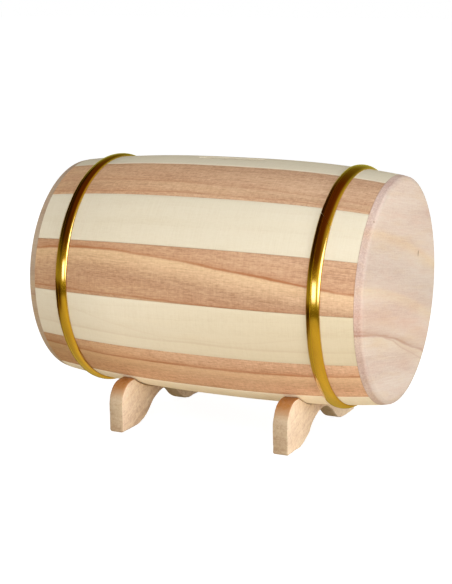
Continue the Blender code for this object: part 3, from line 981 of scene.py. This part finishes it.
def make_woods():
    """The woods of the pale staves, the brown staves, the heads and the cradle boards."""
    pale = wood_material(
        "pale_wood_sanded", ((0.835, 0.76, 0.605), (0.785, 0.70, 0.535), (0.70, 0.60, 0.43)),
        line=(0.60, 0.44, 0.27), honey=(0.82, 0.72, 0.50),
        rings=0.10, fibre=0.22, mottle=0.22, marks=0.30, pores=0.0, broad=0.3, play=0.15,
    )
    brown = wood_material(
        "brown_wood_sanded", ((0.755, 0.54, 0.345), (0.615, 0.388, 0.245), (0.43, 0.24, 0.135)),
        line=(0.42, 0.165, 0.065), honey=(0.80, 0.635, 0.37),
        rings=0.16, fibre=0.80, mottle=0.6, marks=0.25, pores=0.22, broad=0.5, play=0.35,
    )
    head = wood_material(
        "head_wood_sanded", ((0.80, 0.69, 0.60), (0.745, 0.61, 0.52), (0.65, 0.49, 0.415)),
        line=(0.54, 0.33, 0.25), honey=(0.79, 0.65, 0.47),
        rings=0.10, fibre=0.75, mottle=0.4, marks=0.10, pores=0.15, broad=0.8,
        play=0.8, streak=0.08, wander=0.1, wobble=1.6, rim=(0.78, 0.70, 0.71), flecks=RIGHT_HEAD_FLECKS,
    )
    # its orange seat-shade colour is painted shade, the barrel's shadow with warm bounce
    cradle = wood_material(
        "cradle_wood_sanded", ((0.83, 0.70, 0.54), (0.75, 0.60, 0.455), (0.60, 0.44, 0.32)),
        line=(0.6, 0.4, 0.25), honey=(0.82, 0.66, 0.46), seat_shade_colour=(0.50, 0.19, 0.02),
        rings=0.25, fibre=0.6, mottle=1.0, marks=0.4, pores=0.3, broad=0.8,
    )
    return pale, brown, head, cradle


GOLD_TINTS = ((0.61, 0.355, 0.010), (0.56, 0.31, 0.007))
GOLD_BUMP = 0.10 * MM
RIDGE_PLACE = -0.68  # millimetres from a hoop's middle to its rolled ridge
RIDGE_HALF_WIDTH = 0.25


def gold_material():
    """Bright golden metal strip under clear lacquer, with a faint rolled ridge, lines and small dents."""
    material, graph, shader = new_material("golden_metal_polished")
    plank = graph.attribute("plank")
    off_ridge = graph.math("ABSOLUTE", graph.total(graph.parts(plank)[1], -RIDGE_PLACE))
    ridge = graph.span(off_ridge, 0.0, RIDGE_HALF_WIDTH, 1.0, 0.0)
    dents = graph.noise(plank, (0.10, 0.25, 0.10), detail=1.0)
    lines = graph.noise(plank, (0.05, 3.2, 2.0), detail=3.0)
    smudge = graph.noise(plank, (0.25, 0.5, 0.5), detail=4.0)
    height = graph.total(dents, graph.product(lines, 0.10), graph.product(ridge, 0.5))
    graph.fill(shader, {
        "Base Color": graph.mix(graph.span(smudge, 0.3, 0.7), *GOLD_TINTS),
        "Metallic": 1.0,
        "Roughness": graph.total(graph.span(smudge, 0.3, 0.7, 0.12, 0.17), graph.product(ridge, 0.3)),
        "Coat Weight": 1.0,
        "Coat IOR": 2.13,
        "Coat Roughness": 0.09,
        "Normal": graph.bump(height, GOLD_BUMP, 0.5),
    })
    return material


RUBBER_TINTS = ((0.016, 0.016, 0.017), (0.030, 0.029, 0.028))
RUBBER_BUMP = 0.02 * MM


def rubber_material():
    """Soft black rubber with a faint moulded grain."""
    material, graph, shader = new_material("black_rubber_soft")
    place = graph.node("ShaderNodeNewGeometry").outputs["Position"]
    grain = graph.noise(place, (2200.0, 2200.0, 2200.0))
    cloud = graph.noise(place, (140.0, 140.0, 140.0), detail=3.0)
    graph.fill(shader, {
        "Base Color": graph.mix(cloud, *RUBBER_TINTS),
        "Roughness": graph.span(cloud, 0.3, 0.7, 0.48, 0.62),
        "Specular IOR Level": 0.15,
        "Normal": graph.bump(grain, RUBBER_BUMP, 0.6),
    })
    return material


# Studio ----------

# Softboxes: azimuth from -Y towards +X and elevation in degrees, distance, width, height, radiance, colour
LIGHTS = {
    "key_strip": (6, 4, 1.2, 0.42, 0.36, 11.6, (1.0, 0.99, 0.97)),
    "right_box": (74, 10, 0.7, 0.42, 0.36, 4.8, (0.96, 1.0, 1.04)),
    "left_box": (-112, 12, 0.7, 0.42, 0.36, 3.2, (1.0, 0.99, 0.97)),
    "front_box": (34, 52, 0.75, 0.6, 0.6, 1.9, (0.98, 0.99, 1.0)),
}

# The room that the metal mirrors, by how far a direction points upwards, from straight down to straight up
ROOM_STOPS = [
    (0.00, (0.94, 0.75, 0.16)),
    (0.07, (0.78, 0.62, 0.14)),
    (0.22, (0.86, 0.70, 0.13)),
    (0.32, (0.74, 0.60, 0.10)),
    (0.345, (0.21, 0.16, 0.014)),
    (0.38, (0.23, 0.17, 0.015)),
    (0.43, (0.49, 0.42, 0.05)),
    (0.58, (0.52, 0.44, 0.055)),
    (0.66, (0.32, 0.22, 0.02)),
    (0.75, (0.13, 0.05, 0.0035)),
    (0.97, (0.12, 0.03, 0.002)),
]
BACKDROP_STOPS = [
    (0.45, (0.62, 0.54, 0.09)),
    (0.65, (0.32, 0.30, 0.045)),
    (0.75, (0.19, 0.14, 0.01)),
    (0.86, (0.13, 0.076, 0.0035)),
]
# Brightness of the room and of the table from left to right
SIDE_STOPS = [(0.0, 0.04), (0.20, 0.10), (0.30, 0.34), (0.45, 0.30), (0.62, 0.42), (0.8, 0.7)]
SIDE_GAIN = 3.0
TABLE_STOPS = [(0.0, 0.55), (0.30, 0.80), (0.50, 0.98), (0.62, 1.06)]
LEFT_GAP_TINT = (0.35, 0.22, 0.10)
BACK_SHADE_TINT = (0.66, 0.52, 0.3)
# Windows: x from and to, z from and to, blur, the y they start at, radiance
WINDOWS = (
    (-0.20, 0.38, -0.07, 0.20, 0.10, 0.0, (4.4, 4.6, 4.7)),
    (0.80, 1.20, -0.09, 0.46, 0.14, 0.0, (5.6, 5.9, 6.4)),
    (0.45, 1.30, -0.10, 0.90, 0.20, 0.8, (0.30, 0.37, 0.06)),
)


def place_facing(thing, place, target):
    """Put a lamp or a camera at a place, turned towards a target."""
    thing.location = place
    thing.rotation_euler = (Vector(target) - Vector(place)).to_track_quat("-Z", "Y").to_euler()


def soft_light(name, azimuth, elevation, distance, width, height, radiance, colour):
    """A softbox that faces the barrel and lights matte surfaces only."""
    data = bpy.data.lights.new(name, "AREA")
    data.shape = "RECTANGLE"
    data.size = width
    data.size_y = height
    data.energy = radiance * math.pi * width * height
    data.color = colour
    lamp = add_object(name, data)
    azimuth = math.radians(azimuth)
    elevation = math.radians(elevation)
    flat = distance * math.cos(elevation)
    rise = distance * math.sin(elevation)
    place = (flat * math.sin(azimuth), -flat * math.cos(azimuth), AXIS_HEIGHT + rise)
    place_facing(lamp, place, (0, 0, AXIS_HEIGHT))
    lamp.visible_glossy = False
    lamp.visible_camera = False


def window_share(graph, direction, left, right, low, high, blur, front):
    """How much of a soft-edged window a direction meets."""
    return graph.product(
        graph.span(direction[0], left - blur, left + blur),
        graph.span(direction[0], right - blur, right + blur, 1.0, 0.0),
        graph.span(direction[2], low - 0.5 * blur, low + 0.5 * blur),
        graph.span(direction[2], high - 0.5 * blur, high + 0.5 * blur, 1.0, 0.0),
        graph.span(direction[1], front - 0.05, front + 0.05, 1.0, 0.0),
    )


def reflected_room(graph, direction):
    """What the hoops mirror: a pale table, a dim warm room, two soft windows and a faint wall."""
    x, y, z = direction[0:3]
    level = graph.span(z, -1.0, 1.0)
    across = graph.span(x, -1.0, 1.0)
    room = graph.ramp(level, ROOM_STOPS)
    side = graph.product(graph.parts(graph.ramp(across, SIDE_STOPS))[0], SIDE_GAIN)
    upwards = graph.span(z, -0.1, 0.3)
    side = graph.total(1.0, graph.product(upwards, graph.math("SUBTRACT", side, 1.0)))
    room = graph.mix(1.0, room, graph.grey(side), "MULTIPLY")
    behind = graph.product(graph.span(y, 0.46, 0.72), graph.span(z, -0.3, -0.1))
    room = graph.mix(behind, room, graph.ramp(level, BACKDROP_STOPS))
    room = graph.tinted(room, graph.span(z, -0.15, -0.3), graph.ramp(across, TABLE_STOPS))
    gap = graph.product(graph.span(x, -0.30, -0.60), graph.span(z, -0.08, -0.16), graph.span(z, -0.56, -0.42))
    room = graph.tinted(room, gap, LEFT_GAP_TINT)
    shade = graph.product(graph.span(y, 0.45, 0.85), graph.span(z, -0.05, -0.2))
    room = graph.tinted(room, shade, BACK_SHADE_TINT)
    for *window, radiance in WINDOWS:
        share = window_share(graph, direction, *window)
        light = graph.join([graph.product(share, strength) for strength in radiance])
        room = graph.mix(1.0, room, light, "ADD")
    return room


FILL_STOPS = [(0.0, 0.9), (0.45, 0.46), (0.6, 0.28), (1.0, 0.28)]
FLOOR_REACH = 14.0  # metres


def make_world():
    """White behind the object, soft fill for matte surfaces, and a room for the metal to reflect."""
    world = bpy.data.worlds.new("studio")
    bpy.context.scene.world = world
    world.use_nodes = True
    graph = Graph(world.node_tree)
    direction = graph.parts(graph.node("ShaderNodeTexCoord").outputs["Generated"])
    fill = graph.ramp(graph.span(direction[2], -1.0, 1.0), FILL_STOPS)
    path = graph.node("ShaderNodeLightPath").outputs
    seen = graph.mix(path["Is Glossy Ray"], fill, reflected_room(graph, direction))
    seen = graph.mix(path["Is Camera Ray"], seen, (1.0, 1.0, 1.0))
    graph.fill(world.node_tree.nodes["Background"], {"Color": seen, "Strength": 1.0})


def make_floor():
    """A plain pale floor that glows a little, as a lit white table does."""
    mesh = bpy.data.meshes.new("floor_mesh")
    corners = [(x * FLOOR_REACH, y * FLOOR_REACH, 0) for x, y in ((-1, -1), (1, -1), (1, 1), (-1, 1))]
    mesh.from_pydata(corners, [], [(0, 1, 2, 3)])
    floor = add_object("floor", mesh)
    material, graph, shader = new_material("floor_white")
    seen = graph.node("ShaderNodeLightPath").outputs["Is Camera Ray"]
    graph.fill(shader, {
        "Base Color": graph.mix(seen, (0.80, 0.72, 0.62), (0.30, 0.30, 0.30)),
        "Emission Strength": graph.product(seen, 0.93),
        "Emission Color": (1.0, 1.0, 1.0, 1.0),
        "Roughness": 0.9,
        "Specular IOR Level": 0.0,
    })
    mesh.materials.append(material)
    floor.visible_glossy = False


def make_camera():
    """A long lens, from the front right and a little above."""
    data = bpy.data.cameras.new("camera")
    data.lens = CAMERA_LENS
    data.sensor_width = 36.0
    data.clip_start = 0.01
    data.clip_end = 50.0
    camera = add_object("camera", data)
    place_facing(camera, CAMERA_PLACE, CAMERA_AIM)
    bpy.context.scene.camera = camera


def main():
    make_camera()
    bpy.context.scene.view_settings.view_transform = "Standard"
    make_world()
    make_floor()
    for name, settings in LIGHTS.items():
        soft_light(name, *settings)
    pale, brown, head, cradle = make_woods()
    gold = gold_material()
    make_staves(pale, brown)
    make_heads(head)
    for name, middle, seam in HOOPS:
        make_hoop(name, middle, seam, gold)
    for name, side, ease, roughness in CRADLES:
        make_cradle(name, side, ease, roughness, cradle)
    make_stopper(rubber_material())


main()
